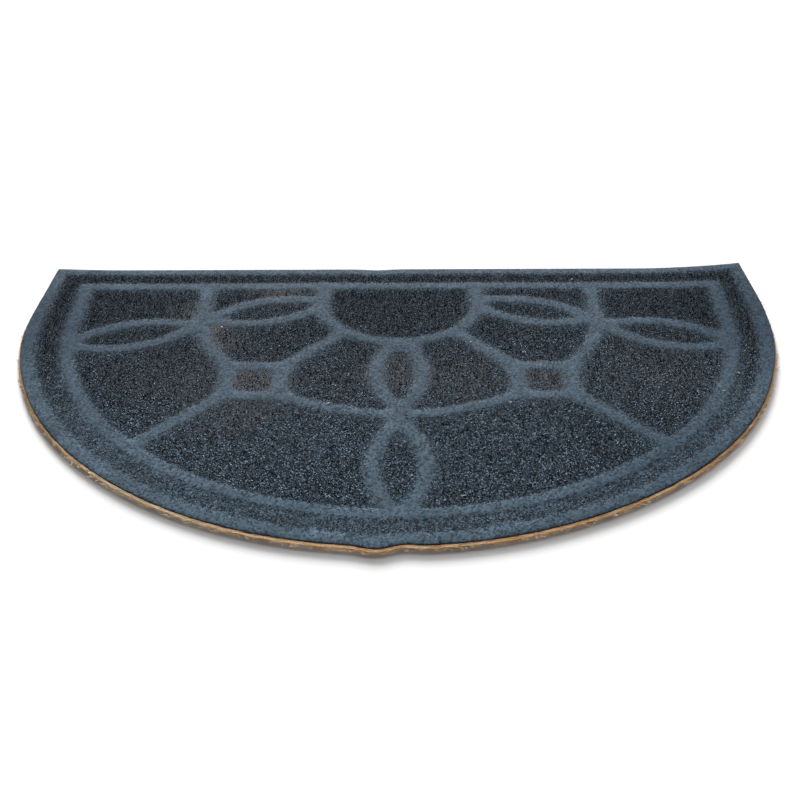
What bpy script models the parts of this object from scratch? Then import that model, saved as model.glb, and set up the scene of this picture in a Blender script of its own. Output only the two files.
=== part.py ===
"""Half-round rubber doormat: a moulded rubber sheet with raised ribs over a brown fibre layer.

Metres, +Z up. The origin is on the floor, in the middle of the mat. The straight back edge faces +Y
and the round front edge faces -Y. In the tables a place is given as across, its distance from the
centre line, and forward, its distance from the straight back edge.
"""

import math
from collections import namedtuple

import bmesh
import bpy
import numpy as np
from mathutils import Vector
from mathutils.geometry import delaunay_2d_cdt

# Plan of the mat
HALF_WIDTH = 0.300
SIDE_LENGTH = 0.100
FRONT_RADIUS = 0.300
BACK_STEPS = 60
SIDE_STEPS = 10
FRONT_STEPS = 96

# Thicknesses
FIBRE_THICKNESS = 0.0034
LAYER_GAP = 0.0003
PANEL_THICKNESS = 0.0009
EDGE_THICKNESS = 0.0010
RIM_RISE = 0.0004
RIB_RISE = 0.0006

# Section of a rib, from its centre line outwards, and of the rim, from the cut edge inwards
RIB_TOP_HALF = 0.0030
RIB_FOOT_HALF = 0.0085
RIM_CREST = 0.0030
RIM_TOP_WIDTH = 0.0080
RIM_FOOT_WIDTH = 0.0140

# Spacing of the points along a rib, and under the curled corners. At a tight bend, a point of the
# section that comes nearer to its own centre line than this share of its distance is left out.
STATION_STEP = 0.0095
CORNER_STEP = 0.0190
BEND_SHARE = 0.93

# Triangulation: the kind that keeps only what lies inside the ring, and when two points are one
FILL_INSIDE = 1
MERGE_DISTANCE = 0.00001

# Fibre layer's edge: how far it stands proud of the rubber, and its rounding above and below
FIBRE_PROUD = 0.0007
FIBRE_TOP_INSET = 0.0008
FIBRE_TOP_DROP = 0.0006
FIBRE_FOOT_INSET = 0.0012
FIBRE_FOOT_RISE = 0.0009

# Waves that make the fibre layer's edge uneven, counted round the mat
Wave = namedtuple("Wave", "count size phase")
EDGE_WAVES = (
    Wave(37, 0.00020, 0.0),
    Wave(23, 0.00012, 1.0),
    Wave(61, 0.00008, 2.0),
)

# Pattern: the border rib follows the outline, and the hub is a half circle on straight sides. They are
# the first two paths, and the other ribs end at them.
BORDER_INSET = 0.0335
HUB_RADIUS = 0.0640
HUB_CENTRE = 0.0670
PATTERN_OFF_CENTRE = 0.0017
FRAMING_PATHS = 2

# How far the cut edge strays from the plain outline. The sides swell where they meet the round front
# and draw in towards the back corners. A bump or dent has a place along its edge, which is across on the
# front and the back and forward on the sides, a half width and a size.
SIDE_SWELL = 0.0022
CORNER_DRAW_IN = 0.0062
SWELL_FROM = 0.060
SWELL_TO = 0.270
EDGE_REACH = 0.030
Stray = namedtuple("Stray", "name edge place half_width outward")
STRAYS = (
    Stray("bulge at the middle of the front", "front", -0.0140, 0.0110, 0.0033),
    Stray("dent right of that bulge", "front", 0.0060, 0.0100, -0.0018),
    Stray("dent at the middle of the back", "back", -0.0180, 0.0120, -0.0018),
    Stray("fuller left front quarter", "front", -0.1150, 0.0900, 0.0012),
    Stray("flatter right front quarter", "front", 0.1650, 0.0700, -0.0015),
    Stray("slimmer left side", "left", 0.0380, 0.0480, -0.0014),
    Stray("fuller right side", "right", 0.0680, 0.0360, 0.0013),
)

# Corners of the straight edge that curl up off the floor
Curl = namedtuple("Curl", "name side lift reach")
CURLS = (
    Curl("left back corner", -1, 0.0015, 0.070),
    Curl("right back corner", 1, 0.0050, 0.095),
)

# Places where ribs meet
Place = namedtuple("Place", "across forward")
PLACES = {
    "upright top": Place(0.1620, BORDER_INSET),
    "crossing": Place(0.1615, 0.0985),
    "inner petal, hub end": Place(0.0600, 0.0630),
    "inner petal, crossing end": Place(0.1560, 0.0942),
    "outer petal, crossing end": Place(0.1670, 0.1030),
    "outer petal, border end": Place(0.2643, 0.1348),
    "hub corner": Place(0.0435, 0.1140),
    "square, outer back": Place(0.1320, 0.1700),
    "square, inner back": Place(0.0906, 0.1700),
    "square, outer front": Place(0.1320, 0.2120),
    "square, inner front": Place(0.0906, 0.2120),
    "border diagonal": Place(0.1930, 0.2838),
    "middle inner petal, hub end": Place(0.0, 0.1280),
    "middle inner petal, star end": Place(0.0, 0.2330),
    "star": Place(0.0, 0.2415),
    "middle outer petal, star end": Place(0.0, 0.2505),
    "middle outer petal, border end": Place(0.0, 0.3690),
}

# Ribs of the right half, each an arc from start to end. The bow is how far its middle stands off the
# straight line, to the right of the way from start to end as seen from above.
Rib = namedtuple("Rib", "name start end bow")
RIBS = (
    Rib("upright", "upright top", "crossing", 0.0),
    Rib("inner petal, back arc", "inner petal, crossing end", "inner petal, hub end", 0.0182),
    Rib("inner petal, front arc", "inner petal, crossing end", "inner petal, hub end", -0.0182),
    Rib("knot between the side petals", "inner petal, crossing end", "outer petal, crossing end", 0.0),
    Rib("outer petal, back arc", "outer petal, crossing end", "outer petal, border end", -0.0191),
    Rib("outer petal, front arc", "outer petal, crossing end", "outer petal, border end", 0.0191),
    Rib("knee", "crossing", "square, outer back", -0.0047),
    Rib("spoke", "hub corner", "square, inner back", 0.0),
    Rib("square, back", "square, outer back", "square, inner back", 0.0012),
    Rib("square, front", "square, outer front", "square, inner front", -0.0012),
    Rib("square, outer side", "square, outer back", "square, outer front", 0.0),
    Rib("square, inner side", "square, inner back", "square, inner front", 0.0),
    Rib("swag", "square, inner front", "star", -0.0059),
    Rib("stay", "square, outer front", "border diagonal", 0.0),
    Rib("middle inner petal", "middle inner petal, hub end", "middle inner petal, star end", -0.0180),
    Rib("knot between the middle petals", "middle inner petal, star end", "middle outer petal, star end", 0.0),
    Rib("middle outer petal", "middle outer petal, star end", "middle outer petal, border end", -0.0192),
)

# Plain stand-in materials, and the angle from which an edge is shaded sharp
RUBBER_COLOUR = (0.048, 0.070, 0.090)
RUBBER_ROUGHNESS = 0.80
FIBRE_COLOUR = (0.413, 0.238, 0.114)
FIBRE_ROUGHNESS = 0.95
SHARP_ANGLE = math.radians(40.0)


def smooth_step(value):
    value = np.clip(value, 0.0, 1.0)
    return value * value * (3.0 - 2.0 * value)


def outline(inset):
    """The plain outline, so far inside the cut edge: back, right side, round front, left side."""
    half = HALF_WIDTH - inset
    radius = FRONT_RADIUS - inset
    back = [(half * (2.0 * i / BACK_STEPS - 1.0), inset) for i in range(BACK_STEPS)]
    run = SIDE_LENGTH - inset
    right = [(half, inset + run * i / SIDE_STEPS) for i in range(SIDE_STEPS)]
    angles = [math.pi * i / FRONT_STEPS for i in range(FRONT_STEPS)]
    front = [(half * math.cos(a), SIDE_LENGTH + radius * math.sin(a)) for a in angles]
    left = [(-half, SIDE_LENGTH - run * i / SIDE_STEPS) for i in range(SIDE_STEPS)]
    return np.array(back + right + front + left)


def arc(start, end, bow):
    """Evenly spaced points along an arc whose middle stands off its chord by the bow."""
    start = np.array(start)
    chord = np.array(end) - start
    length = math.hypot(*chord)
    steps = max(2, round(length / STATION_STEP))
    share = np.linspace(0.0, 1.0, steps + 1)
    points = start + share[:, None] * chord
    if bow == 0.0:
        return points
    radius = (length * length / 4.0 + bow * bow) / (2.0 * abs(bow))
    rise = np.sqrt(radius**2 - ((share - 0.5) * length) ** 2) - (radius - abs(bow))
    sideways = np.array([-chord[1], chord[0]]) / length
    return points + math.copysign(1.0, bow) * rise[:, None] * sideways


def hub_path():
    """From the border rib down one straight side, round the half circle and up the other side."""
    steps = round(math.pi * HUB_RADIUS / STATION_STEP)
    angles = [math.pi * i / steps for i in range(steps + 1)]
    curve = [(HUB_RADIUS * math.cos(a), HUB_CENTRE + HUB_RADIUS * math.sin(a)) for a in angles]
    top_right = (HUB_RADIUS, BORDER_INSET)
    side = (HUB_RADIUS, (BORDER_INSET + HUB_CENTRE) / 2.0)
    mirrored = [(-side[0], side[1]), (-top_right[0], top_right[1])]
    return np.array([top_right, side] + curve + mirrored)


def rib_paths():
    """Every rib as a line of points: the border, the hub, then each row of the table on both halves."""
    border = outline(BORDER_INSET)
    paths = [np.vstack([border, border[:1]]), hub_path()]
    for rib in RIBS:
        right = arc(PLACES[rib.start], PLACES[rib.end], rib.bow)
        paths.append(right)
        if abs(right[:, 0]).max() > 0.0:
            paths.append(right * (-1.0, 1.0))
    return [path + (PATTERN_OFF_CENTRE, 0.0) for path in paths]


def distance_to(path, points):
    """Each point's distance to the nearest stretch of the path."""
    start = path[:-1][None]
    run = (path[1:] - path[:-1])[None]
    share = ((points[:, None] - start) * run).sum(2) / (run * run).sum(2)
    nearest = start + np.clip(share, 0.0, 1.0)[..., None] * run
    return np.hypot(*np.moveaxis(points[:, None] - nearest, 2, 0)).min(1)


def edge_distance(points):
    """Each point's distance inside the plain outline."""
    across, forward = np.abs(points[:, 0]), points[:, 1]
    to_side = HALF_WIDTH - across
    to_front = FRONT_RADIUS - np.hypot(points[:, 0], forward - SIDE_LENGTH)
    return np.minimum(forward, np.where(forward > SIDE_LENGTH, to_front, to_side))


def between_border_and_hub(points):
    """1 where the inner ribs run, falling to 0 over the border rib and the hub, where they end."""
    across, forward = np.abs(points[:, 0] - PATTERN_OFF_CENTRE), points[:, 1]
    hub = np.where(forward > HUB_CENTRE, np.hypot(across, forward - HUB_CENTRE), across) - HUB_RADIUS
    within = np.minimum(edge_distance(points) - BORDER_INSET, hub)
    return smooth_step((within + RIB_TOP_HALF) / (2.0 * RIB_TOP_HALF))


def rubber_top(points, paths):
    """Height of the rubber's upper face over its underside, before any corner curls."""
    bare = np.ones(len(points))
    whole = between_border_and_hub(points)
    for index, path in enumerate(paths):
        off = distance_to(path, points)
        section = smooth_step((RIB_FOOT_HALF - off) / (RIB_FOOT_HALF - RIB_TOP_HALF))
        bare *= 1.0 - (section if index < FRAMING_PATHS else section * whole)
    inside = edge_distance(points)
    rim = smooth_step((RIM_FOOT_WIDTH - inside) / (RIM_FOOT_WIDTH - RIM_TOP_WIDTH))
    worn = (PANEL_THICKNESS + RIM_RISE - EDGE_THICKNESS) * (1.0 - smooth_step(inside / RIM_CREST))
    return PANEL_THICKNESS + RIB_RISE * (1.0 - bare) + RIM_RISE * rim - worn


def strayed(points):
    """The same points with the cut edge's bumps and dents, which fade out towards the middle."""
    across, forward = points[:, 0], points[:, 1]
    near = smooth_step(1.0 - edge_distance(points) / EDGE_REACH)
    down_the_side = np.clip(1.0 - forward / SIDE_LENGTH, -1.0, 1.0)
    swell = np.where(
        forward < SIDE_LENGTH,
        SIDE_SWELL - CORNER_DRAW_IN * down_the_side**2,
        SIDE_SWELL * smooth_step(1.0 + down_the_side),
    )
    beside = near * smooth_step((np.abs(across) - SWELL_FROM) / (SWELL_TO - SWELL_FROM))
    moved = points + np.stack([np.sign(across) * beside * swell, np.zeros(len(points))], 1)
    for stray in STRAYS:
        along = forward if stray.edge in ("left", "right") else across
        bump = stray.outward * np.exp(-(((along - stray.place) / stray.half_width) ** 2))
        if stray.edge == "back":
            moved[:, 1] -= near * bump * (forward < SIDE_LENGTH)
        elif stray.edge == "front":
            moved[:, 1] += near * bump * (forward > SIDE_LENGTH)
        else:
            side = 1.0 if stray.edge == "right" else -1.0
            moved[:, 0] += side * beside * bump * (side * across > 0.0)
    return moved


def lift(points):
    """How far the curled corners hold each point off the floor."""
    raised = np.zeros(len(points))
    for curl in CURLS:
        corner = np.array([curl.side * HALF_WIDTH, 0.0])
        away = np.hypot(*(points - corner).T)
        raised += curl.lift * np.clip(1.0 - away / curl.reach, 0.0, 1.0) ** 2
    return raised


def rib_stations(paths):
    """Points on the top edges and feet of every rib, and the pairs of them that one edge joins."""
    points = []
    edges = []
    for own, path in enumerate(paths):
        along = np.gradient(path, axis=0)
        along /= np.hypot(*along.T)[:, None]
        sideways = np.stack([-along[:, 1], along[:, 0]], 1)
        others = [other for index, other in enumerate(paths) if index != own]
        for half in (RIB_TOP_HALF, RIB_FOOT_HALF):
            for side in (-1.0, 1.0):
                row = path + side * half * sideways
                clear = np.min([distance_to(other, row) for other in others], axis=0) > half
                clear &= distance_to(path, row) > BEND_SHARE * half
                clear &= edge_distance(row) > RIM_FOOT_WIDTH
                last = None
                for point, kept in zip(row, clear):
                    if kept:
                        points.append(point)
                        if last is not None:
                            edges.append((last, len(points) - 1))
                    last = len(points) - 1 if kept else None
    return points, edges


def corner_grid():
    """A sparse grid under the corners that curl, so that their faces bend with them."""
    found = []
    for curl in CURLS:
        count = math.floor(curl.reach / CORNER_STEP)
        for i in range(1, count + 1):
            for j in range(1, count + 1):
                found.append((curl.side * (HALF_WIDTH - i * CORNER_STEP), j * CORNER_STEP))
    return np.array(found)


def triangulated(ring, inner, edges):
    """Triangles that fill a ring of points, through the inner points and along the given edges."""
    count = len(ring)
    points = [Vector(p) for p in ring] + [Vector(p) for p in inner]
    loop = [(i, (i + 1) % count) for i in range(count)]
    inner_edges = [(a + count, b + count) for a, b in edges]
    ring_face = [list(range(count))]
    found = delaunay_2d_cdt(points, loop + inner_edges, ring_face, FILL_INSIDE, MERGE_DISTANCE)
    places, faces, sources = found[0], found[2], found[3]
    ring_index = {source: new for new, group in enumerate(sources) for source in group if source < count}
    return np.array(places), faces, [ring_index[i] for i in range(count)]


def make_sheet(name, lower, upper, walls, material, collection):
    """A closed sheet: two filled faces, each with its heights, joined by rings of wall points."""
    mesh = bmesh.new()

    def face_of(filled, heights, flip):
        places, faces, ring = filled
        verts = [mesh.verts.new((*in_frame(p), z)) for p, z in zip(places, heights)]
        for face in faces:
            corners = [verts[i] for i in face]
            mesh.faces.new(corners[::-1] if flip else corners)
        return [verts[i] for i in ring]

    rings = [face_of(*lower, True)]
    for places, heights in walls:
        rings.append([mesh.verts.new((*in_frame(p), z)) for p, z in zip(places, heights)])
    rings.append(face_of(*upper, False))
    for below, above in zip(rings, rings[1:]):
        for i in range(len(below)):
            j = (i + 1) % len(below)
            mesh.faces.new((below[i], below[j], above[j], above[i]))
    bmesh.ops.recalc_face_normals(mesh, faces=mesh.faces)
    data = bpy.data.meshes.new(name)
    mesh.to_mesh(data)
    mesh.free()
    data.materials.append(material)
    data.shade_smooth()
    data.set_sharp_from_angle(angle=SHARP_ANGLE)
    collection.objects.link(bpy.data.objects.new(name, data))


def fibre_ring(inset):
    """The fibre layer's edge, a little proud of the rubber and never quite even."""
    ring = outline(0.0)
    turns = np.linspace(0.0, 2.0 * math.pi, len(ring), endpoint=False)
    wander = sum(wave.size * np.sin(wave.count * turns + wave.phase) for wave in EDGE_WAVES)
    proud = FIBRE_PROUD + wander - inset
    along = np.roll(ring, -1, axis=0) - np.roll(ring, 1, axis=0)
    along /= np.hypot(*along.T)[:, None]
    return ring + proud[:, None] * np.stack([along[:, 1], -along[:, 0]], 1)


def in_frame(point):
    """Across and forward to X and Y, with the middle of the mat at the origin."""
    return point[0] - MIDDLE[0], MIDDLE[1] - point[1]


def middle_of_plan():
    edge = strayed(fibre_ring(0.0))
    return (edge.min(0) + edge.max(0)) / 2.0


MIDDLE = middle_of_plan()


def plain_material(name, colour, roughness):
    made = bpy.data.materials.new(name)
    made.use_nodes = True
    shader = made.node_tree.nodes["Principled BSDF"]
    shader.inputs["Base Color"].default_value = (*colour, 1.0)
    shader.inputs["Roughness"].default_value = roughness
    shader.inputs["Metallic"].default_value = 0.0
    made.diffuse_color = (*colour, 1.0)
    return made


def build_fibre(collection):
    """The brown fibre layer, flat on the floor but for the curled corners."""
    under, under_faces, under_ring = triangulated(fibre_ring(FIBRE_FOOT_INSET), corner_grid(), [])
    over, over_faces, over_ring = triangulated(fibre_ring(FIBRE_TOP_INSET), corner_grid(), [])
    edge = fibre_ring(0.0)
    sides = [
        (strayed(edge), FIBRE_FOOT_RISE + lift(edge)),
        (strayed(edge), FIBRE_THICKNESS - FIBRE_TOP_DROP + lift(edge)),
    ]
    make_sheet(
        "fibre_layer",
        ((strayed(under), under_faces, under_ring), lift(under)),
        ((strayed(over), over_faces, over_ring), FIBRE_THICKNESS + lift(over)),
        sides,
        plain_material("needled fibre", FIBRE_COLOUR, FIBRE_ROUGHNESS),
        collection,
    )


def build_rubber(collection):
    """The moulded rubber sheet: flat below, with the rim and the ribs raised in its upper face."""
    paths = rib_paths()
    rings = [outline(inset) for inset in (RIM_CREST, RIM_TOP_WIDTH, RIM_FOOT_WIDTH)]
    stations, edges = rib_stations(paths)
    inner = np.vstack([*rings, stations])
    first = sum(len(ring) for ring in rings)
    ring_edges = []
    for index, ring in enumerate(rings):
        base = index * len(ring)
        ring_edges += [(base + i, base + (i + 1) % len(ring)) for i in range(len(ring))]
    station_edges = [(a + first, b + first) for a, b in edges]
    edge = outline(0.0)
    under, under_faces, under_ring = triangulated(edge, corner_grid(), [])
    over, over_faces, over_ring = triangulated(edge, inner, ring_edges + station_edges)
    bed = FIBRE_THICKNESS + LAYER_GAP
    make_sheet(
        "rubber_sheet",
        ((strayed(under), under_faces, under_ring), bed + lift(under)),
        ((strayed(over), over_faces, over_ring), bed + rubber_top(over, paths) + lift(over)),
        [],
        plain_material("moulded rubber", RUBBER_COLOUR, RUBBER_ROUGHNESS),
        collection,
    )


def main():
    for old in list(bpy.data.objects):
        bpy.data.objects.remove(old)
    collection = bpy.data.collections.new("rubber doormat")
    bpy.context.scene.collection.children.link(collection)
    build_fibre(collection)
    build_rubber(collection)


main()
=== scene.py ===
"""Half-round rubber doormat: everything that is seen of it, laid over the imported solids.

Metres, +Z up, in the solids' own frame: the straight back edge faces +Y and the round front -Y. A place
in the plan is given as across, its distance from the centre line, and forward, its distance from the
straight back edge. The crumb, the bits of lint, the relief sheet, the loose fibres and the brown fibre
layer are each made by an operator of their own, and one more sets up the floor, the light and the camera.
"""

import math
from collections import namedtuple

import bpy
import numpy as np
from bpy.props import FloatProperty, FloatVectorProperty, IntProperty, PointerProperty
from mathutils import Matrix, Vector, noise


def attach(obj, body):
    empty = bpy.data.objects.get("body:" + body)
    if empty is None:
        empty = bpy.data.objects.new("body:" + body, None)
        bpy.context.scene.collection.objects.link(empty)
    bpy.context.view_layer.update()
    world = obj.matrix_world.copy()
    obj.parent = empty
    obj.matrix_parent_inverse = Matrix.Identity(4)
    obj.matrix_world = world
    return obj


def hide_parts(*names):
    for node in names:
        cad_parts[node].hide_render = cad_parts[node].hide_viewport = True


bl_info = {
    "name": "Half-round rubber doormat",
    "version": (1, 0, 0),
    "blender": (4, 5, 0),
    "location": "3D View > Sidebar > Doormat",
    "description": "Makes the finished surfaces of a half-round moulded rubber doormat",
    "category": "Add Mesh",
}

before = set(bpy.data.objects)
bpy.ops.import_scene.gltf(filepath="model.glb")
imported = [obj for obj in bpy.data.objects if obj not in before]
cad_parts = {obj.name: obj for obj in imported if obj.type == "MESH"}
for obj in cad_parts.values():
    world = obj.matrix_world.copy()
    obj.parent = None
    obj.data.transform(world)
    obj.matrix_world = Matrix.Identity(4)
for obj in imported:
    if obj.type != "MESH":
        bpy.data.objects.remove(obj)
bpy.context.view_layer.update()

# The frame's origin as a place in the plan
PLAN_MIDDLE = (0.0007, 0.2012)

# Plan of the mat, as in the solids
HALF_WIDTH = 0.300
SIDE_LENGTH = 0.100
FRONT_RADIUS = 0.300

# Thicknesses, as in the solids
FIBRE_THICKNESS = 0.0034
LAYER_GAP = 0.0003
PANEL_THICKNESS = 0.0009
EDGE_THICKNESS = 0.0010
RIM_RISE = 0.0004
RIB_RISE = 0.0006
BED = FIBRE_THICKNESS + LAYER_GAP

# Section of a rib, from its centre line outwards, and of the rim, from the cut edge inwards
RIB_TOP_HALF = 0.0030
RIB_FOOT_HALF = 0.0085
RIM_CREST = 0.0030
RIM_TOP_WIDTH = 0.0080
RIM_FOOT_WIDTH = 0.0140

# Pattern: the border rib follows the outline, and the hub is a half circle on straight sides
BORDER_INSET = 0.0335
HUB_RADIUS = 0.0640
HUB_CENTRE = 0.0670
PATTERN_OFF_CENTRE = 0.0017

# How far the cut edge strays from the plain outline
SIDE_SWELL = 0.0022
CORNER_DRAW_IN = 0.0062
SWELL_FROM = 0.060
SWELL_TO = 0.270
EDGE_REACH = 0.030
Stray = namedtuple("Stray", "name edge place half_width outward")
STRAYS = (
    Stray("bulge at the middle of the front", "front", -0.0140, 0.0110, 0.0033),
    Stray("dent right of that bulge", "front", 0.0060, 0.0100, -0.0018),
    Stray("dent at the middle of the back", "back", -0.0180, 0.0120, -0.0018),
    Stray("fuller left front quarter", "front", -0.1150, 0.0900, 0.0012),
    Stray("flatter right front quarter", "front", 0.1650, 0.0700, -0.0015),
    Stray("slimmer left side", "left", 0.0380, 0.0480, -0.0014),
    Stray("fuller right side", "right", 0.0680, 0.0360, 0.0013),
)

# Corners of the straight edge that curl up off the floor
Curl = namedtuple("Curl", "name side lift reach")
CURLS = (
    Curl("left back corner", -1, 0.0015, 0.070),
    Curl("right back corner", 1, 0.0050, 0.095),
)

# Places where ribs meet, in the right half
Place = namedtuple("Place", "across forward")
PLACES = {
    "upright top": Place(0.1620, BORDER_INSET),
    "crossing": Place(0.1615, 0.0985),
    "inner petal, hub end": Place(0.0600, 0.0630),
    "inner petal, crossing end": Place(0.1560, 0.0942),
    "outer petal, crossing end": Place(0.1670, 0.1030),
    "outer petal, border end": Place(0.2643, 0.1348),
    "hub corner": Place(0.0435, 0.1140),
    "square, outer back": Place(0.1320, 0.1700),
    "square, inner back": Place(0.0906, 0.1700),
    "square, outer front": Place(0.1320, 0.2120),
    "square, inner front": Place(0.0906, 0.2120),
    "border diagonal": Place(0.1930, 0.2838),
    "middle inner petal, hub end": Place(0.0, 0.1280),
    "middle inner petal, star end": Place(0.0, 0.2330),
    "star": Place(0.0, 0.2415),
    "middle outer petal, star end": Place(0.0, 0.2505),
    "middle outer petal, border end": Place(0.0, 0.3690),
}

# Ribs of the right half, each an arc. The bow is how far its middle stands off the straight line, to
# the right of the way from start to end as seen from above.
Rib = namedtuple("Rib", "name start end bow")
RIBS = (
    Rib("upright", "upright top", "crossing", 0.0),
    Rib("inner petal, back arc", "inner petal, crossing end", "inner petal, hub end", 0.0182),
    Rib("inner petal, front arc", "inner petal, crossing end", "inner petal, hub end", -0.0182),
    Rib("knot between the side petals", "inner petal, crossing end", "outer petal, crossing end", 0.0),
    Rib("outer petal, back arc", "outer petal, crossing end", "outer petal, border end", -0.0191),
    Rib("outer petal, front arc", "outer petal, crossing end", "outer petal, border end", 0.0191),
    Rib("knee", "crossing", "square, outer back", -0.0047),
    Rib("spoke", "hub corner", "square, inner back", 0.0),
    Rib("square, back", "square, outer back", "square, inner back", 0.0012),
    Rib("square, front", "square, outer front", "square, inner front", -0.0012),
    Rib("square, outer side", "square, outer back", "square, outer front", 0.0),
    Rib("square, inner side", "square, inner back", "square, inner front", 0.0),
    Rib("swag", "square, inner front", "star", -0.0059),
    Rib("stay", "square, outer front", "border diagonal", 0.0),
    Rib("middle inner petal", "middle inner petal, hub end", "middle inner petal, star end", -0.0180),
    Rib("middle knot", "middle inner petal, star end", "middle outer petal, star end", 0.0),
    Rib("middle outer petal", "middle outer petal, star end", "middle outer petal, border end", -0.0192),
)

# Points round the relief sheet. The grid that fills it has as many cells along the back as the back has
# points, and half of the rest down each side, which sets where the fill's corners fall on the ring.
BACK_POINTS = 284
SIDE_POINTS = 52
FRONT_POINTS = 556
FILL_OFFSET = (2 * SIDE_POINTS + FRONT_POINTS - BACK_POINTS) // 2

# Rows of the relief sheet from its underside up over the rounded cut edge and the rim: how far in from
# the cut edge, and what share of the edge's thickness is below
EdgeRow = namedtuple("EdgeRow", "inset share")
RUBBER_ROWS = (
    EdgeRow(0.0002, 0.0),
    EdgeRow(0.0, 0.25),
    EdgeRow(0.0, 0.60),
    EdgeRow(0.00015, 0.85),
    *(
        EdgeRow(inset, 1.0)
        for inset in (0.0005, 0.0012, 0.0022, 0.0035, 0.0050, 0.0065, 0.0080, 0.0095, 0.0110, 0.0125, 0.0140)
    ),
)

# How far apart the undersides are cut near the corners that curl
UNDER_CUT_STEP = 0.019

# Fibre layer: rows of its edge from the underside up, standing proud of the rubber
FIBRE_PROUD = 0.0007
UNDER_CLEAR = 0.0003
FIBRE_ROWS = (
    EdgeRow(0.0040, 0.0),
    EdgeRow(0.0027, 0.08),
    EdgeRow(0.0015, 0.17),
    EdgeRow(0.0006, 0.27),
    EdgeRow(0.0001, 0.39),
    EdgeRow(0.0, 0.56),
    EdgeRow(0.0002, 0.80),
    EdgeRow(0.0008, 1.0),
)
# Loose fibres: what share of those round the edge is frayed, in how many tufts, and how far out they may
# reach past the plain outline
FRAYED_SHARE = 0.30
EDGE_TUFTS = 480
FRAY_REACH = 0.0042

# Painted shade at the foot of the edge, where it meets the floor: how strong, between which shares of its
# height it fades, and how raggedly
FOOT_SHADE_SHARE = 0.95
FOOT_SHADE_FULL = 0.27
FOOT_SHADE_NONE = 0.49
FOOT_SHADE_RAGGED = 0.42

# Points round the fibre layer: along the back, down each side and round the front
FIBRE_BACK_POINTS = 480
FIBRE_SIDE_POINTS = 80
FIBRE_FRONT_POINTS = 760

# Loose fibres, drawn evenly from each range. Their shades are beta draws, and the wander and the bend are
# normal draws. A frayed fibre leaves its tuft sideways and outwards, thick and pale, made paler still with
# painted light where it lies in the mat's shadow, and falls to some share of its height. Any other lies along
# the edge and wanders a little in height.
FRAY_LENGTHS = (0.0012, 0.0038)
FRAY_OUTWARDS = (0.3, 1.0)
FRAY_SIDEWAYS = (0.0, 0.9)
FRAY_FALLS = (0.0, 1.3)
FRAY_HIGHEST = 0.6
FRAY_THICKER = 2.6
FRAY_PALE_AND_PAINTED_LIGHT = 0.45
LYING_LENGTHS = (0.003, 0.009)
LYING_OUTWARDS = (-0.04, 0.08)
LYING_WANDER = 0.0004
LYING_LOWEST = 0.25
EDGE_LOWEST = 0.0003
EDGE_UNDER_TOP = 0.0002
EDGE_SUNK = (0.0, 0.0003)
EDGE_BOWS = (0.0001, 0.00045)
EDGE_RADII = (0.6, 1.3)
EDGE_SHADES = (2.2, 1.8)
SPOT_PALER = 0.4
UNDER_MARGIN = 0.012
UNDER_HALF_LENGTHS = (0.003, 0.010)
UNDER_BEND = 0.003
UNDER_RADII = (0.6, 1.2)
UNDER_SHADES = (2.0, 2.0)
TIP_TAPER = 0.6
FLOOR_CLEAR = 1.1
NEARLY_UPRIGHT = 1e-3

# Roughness of the fibre layer's cut edge: how deep, how many to a metre, and which slice of the noise
Rag = namedtuple("Rag", "depth number slice")
RAGS = (Rag(0.00045, 110.0, 3.0), Rag(0.00050, 420.0, 7.0))
LUMPS_A_METRE = 700.0
LUMP_ROW_STEP = 0.9
LUMP_HEIGHT = 0.00012
LUMP_SPREAD = 0.0006

# Moulded unevenness of the relief's upper rows, and the share of the cut edge below which it is dark: the cut
# rubber's own dark colour with painted shade, full at the foot of the edge
UNEVEN_A_METRE = 140.0
UNEVEN_HEIGHT = 0.00008
FIRST_UPPER_ROW = 5
CUT_SHADE_TO = 0.6

# Smooth rubber fades into crumb beside a rib and inside the rim. Each rib spreads its smoothness by this
# distance, and where ribs meet it adds up and rounds the panels' corners.
SMOOTH_SPREAD = 0.0066
RIM_CRUMB_FROM = 0.0050
RIM_CRUMB_FULL = 0.0165

# The groove between the rim and the border rib is smoother round the front
GROOVE_SMOOTHNESS = 0.30
GROOVE_EDGE = 0.006
GROOVE_FROM = 0.16
GROOVE_RUN = 0.10

# A crumb's top above its middle and its foot below, as shares of half its height
CRUMB_TOP = 1.0
CRUMB_FOOT = 0.8

# Crumb: how far a place strays from its lattice, as a share of the pitch, then the ranges that each crumb
# is drawn from, as shares of the usual size, and how far it tips in radians, which is a normal draw. Beside
# a rib it is smaller.
CRUMB_STRAY = 0.38
CRUMB_LENGTHS = (0.62, 1.25)
CRUMB_WIDTHS = (0.6, 1.0)
CRUMB_HEIGHTS = (0.45, 0.85)
CRUMB_BREAKS = (0.72, 1.25)
CRUMB_STANDS = (-0.05, 0.22)
CRUMB_TIP = 0.35
CRUMB_LEAST = 0.60

# How light a crumb is, a beta draw: most are dark, painted light makes them lighter towards the front, and
# they are darker in the darker patches
CRUMB_SHADES = (0.48, 1.15)
CRUMB_CORNERS = (0.5, 1.5)
CRUMB_BACK_PAINTED_LIGHT = 0.40
CRUMB_FRONT_PAINTED_LIGHT = 2.20
CRUMB_PATCH_DARKENING = 0.55
CRUMB_PIECES = ("crumb_far_left", "crumb_left", "crumb_right", "crumb_far_right")

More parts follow.
